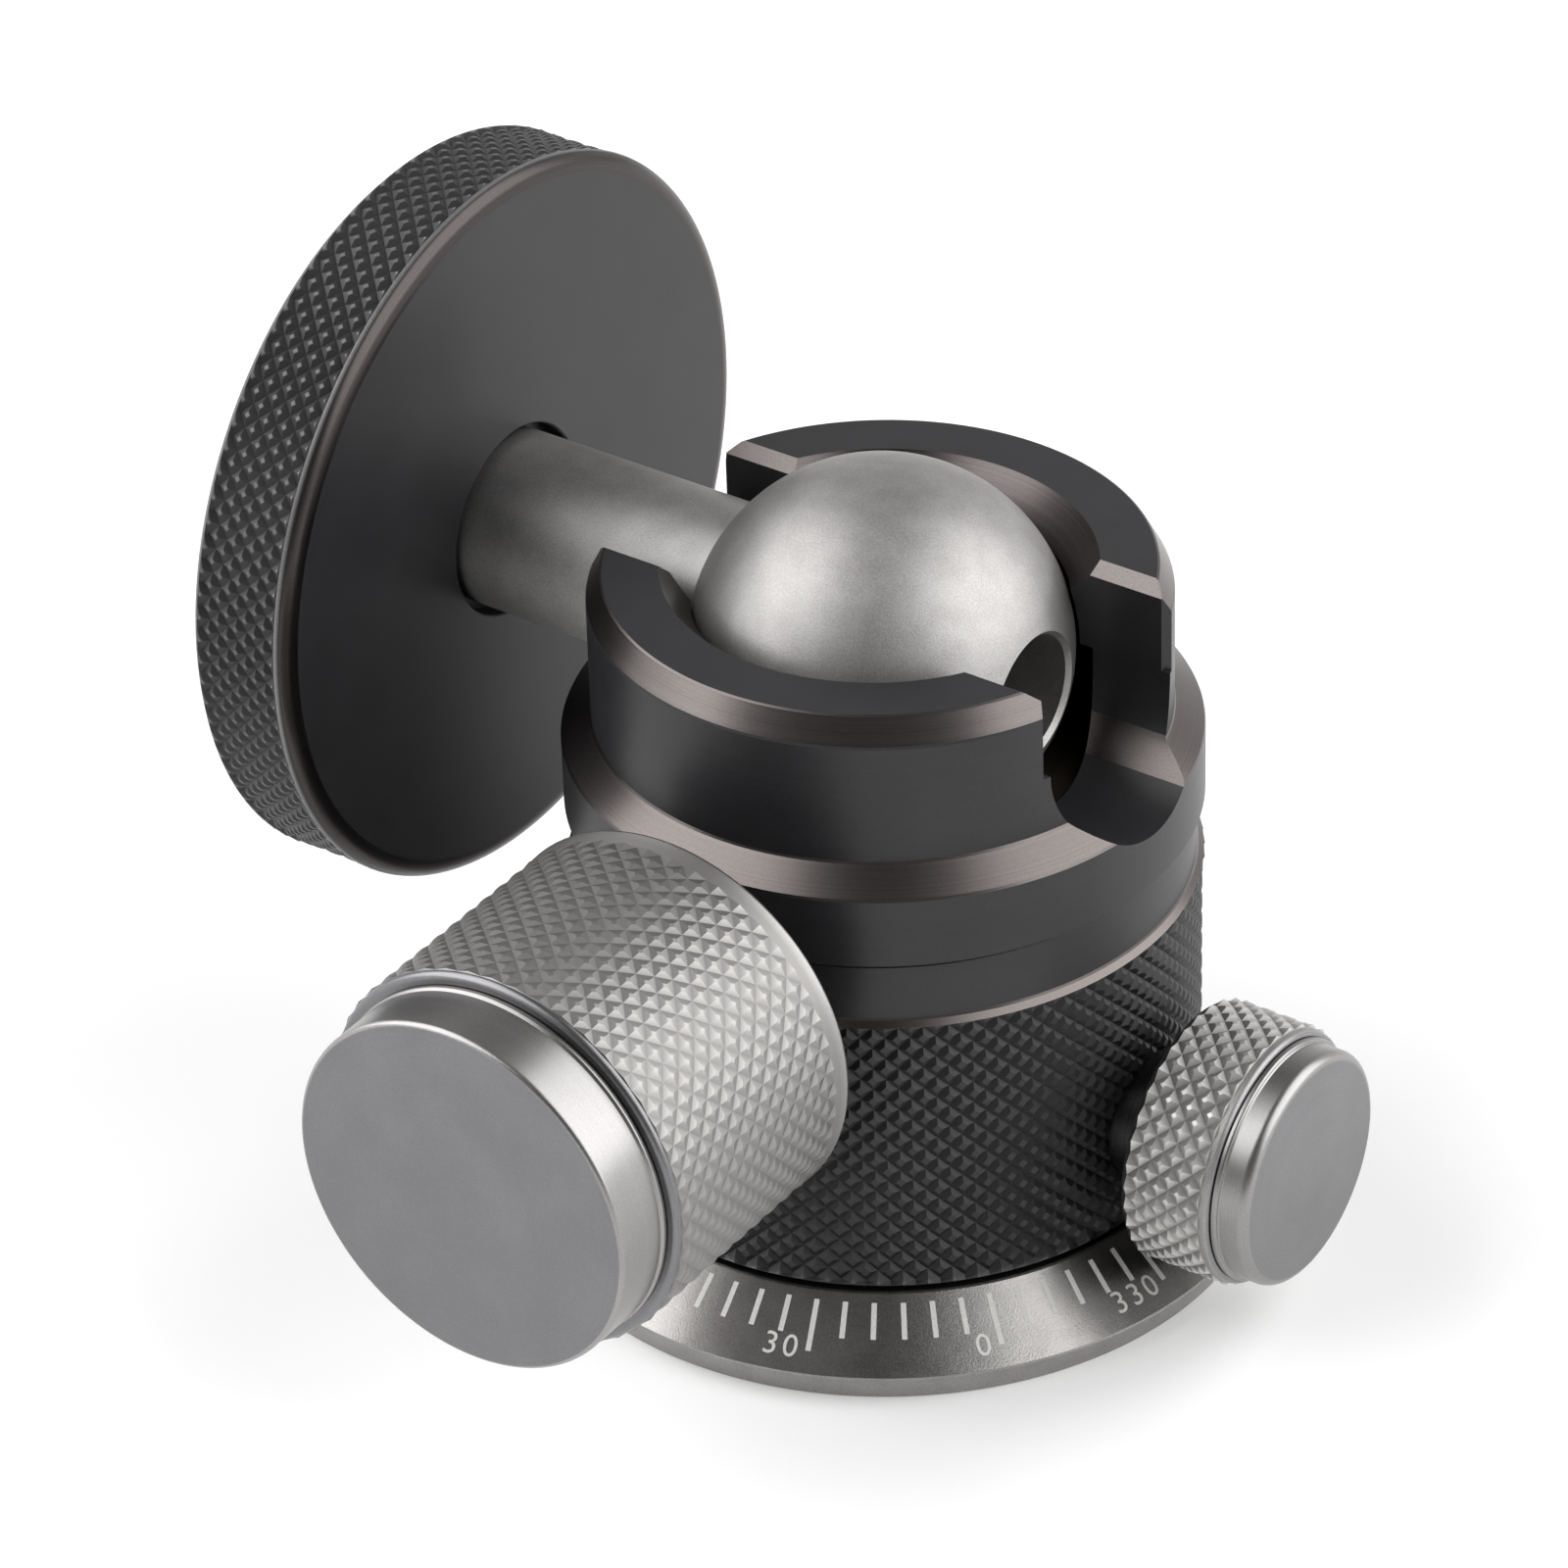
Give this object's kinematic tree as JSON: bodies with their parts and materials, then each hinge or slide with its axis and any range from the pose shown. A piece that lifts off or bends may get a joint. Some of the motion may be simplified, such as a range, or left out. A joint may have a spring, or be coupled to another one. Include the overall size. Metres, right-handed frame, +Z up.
{
  "type": "tripod ball head",
  "caption": "Tripod ball head: a slotted ball socket with knurled ball lock and pan lock knobs, a round camera platform on a stem, and a graduated panning base.",
  "frame": {"origin": "mouth of the tripod thread, at the centre of the base's resting face", "axes": "+Z up along the body's axis, -X along the stem towards the camera platform as it lies over at rest, -Y towards the ball lock knob"},
  "size_m": [0.0894, 0.0866, 0.0801],
  "materials": {
    "titanium_grey": "bead-blasted grey anodised",
    "black_anodised": "satin black anodised",
    "silver_knurl": "knurled, clear anodised",
    "silver_satin": "fine satin, clear anodised",
    "steel": "machined",
    "black_steel": "black oxide",
    "brass": "turned",
    "washer_plastic": "smooth",
    "pad_rubber": "fine grain"
  },
  "bodies": {
    "base": {"base_ring": "titanium_grey", "base_plate": "black_anodised", "thread_bush": "brass", "base_screws": "black_steel", "pan_spindle": "steel"},
    "housing": {"ball_housing": "black_anodised", "chamber_plug": "silver_satin", "retaining_ring": "steel", "thrust_washer": "washer_plastic", "friction_washer": "washer_plastic", "lock_bush": "black_steel", "pan_bush": "black_steel", "spring_washer": "steel"},
    "cup": {"ball_cup": "brass"},
    "clamp_pin": {"lock_pin": "steel"},
    "ball_lock": {"lock_knob": "silver_knurl", "lock_cap": "silver_satin", "lock_screw": "steel", "lock_nut": "steel", "lock_washer": "washer_plastic"},
    "brake": {"brake_shoe": "brass"},
    "pan_lock": {"pan_knob": "silver_knurl", "pan_cap": "silver_satin", "pan_screw": "steel", "pan_nut": "steel", "pan_washer": "washer_plastic"},
    "ball": {"ball_stem": "titanium_grey", "stem_bolt": "black_steel"},
    "camera_plate": {"platform": "black_anodised", "platform_pad": "pad_rubber", "camera_stud": "steel"}
  },
  "joints": [
    {"name": "pan", "type": "hinge", "parent": "base", "child": "housing", "pos_m": [0, 0, 0.0069], "axis": [0, 0, 1], "continuous": true},
    {"name": "ball_tilt", "type": "hinge", "parent": "housing", "child": "ball", "pos_m": [0, 0, 0.0501], "axis": [0, 1, 0], "range_deg": [0, 168]},
    {"name": "ball_spin", "type": "hinge", "parent": "ball", "child": "camera_plate", "pos_m": [-0.0365, 0, 0.0501], "axis": [-1, 0, 0], "continuous": true},
    {"name": "clamp_slide", "type": "slide", "parent": "housing", "child": "clamp_pin", "axis": [0, -1, 0], "range_m": [0, 0.00125]},
    {"name": "lock_turn", "type": "hinge", "parent": "clamp_pin", "child": "ball_lock", "pos_m": [0, -0.03, 0.0323], "axis": [0, -1, 0], "range_deg": [0, 360]},
    {"name": "cup_drop", "type": "slide", "parent": "housing", "child": "cup", "axis": [0, 0, -1], "range_m": [0, 0.00036], "stiffness_N_per_m": 200, "springref_m": -0.00417, "deforming": ["spring_washer"]},
    {"name": "brake_slide", "type": "slide", "parent": "housing", "child": "brake", "axis": [1, 0, 0], "range_m": [0, 0.0006]},
    {"name": "pan_lock_turn", "type": "hinge", "parent": "brake", "child": "pan_lock", "pos_m": [0.03, 0, 0.0154], "axis": [1, 0, 0], "range_deg": [0, 270]}
  ],
  "couplings": [
    {"joint": "lock_turn", "follows": "clamp_slide", "rad_per_m": 5026.5},
    {"joint": "cup_drop", "follows": "clamp_slide", "ratio": 0.28},
    {"joint": "pan_lock_turn", "follows": "brake_slide", "rad_per_m": 7854}
  ]
}
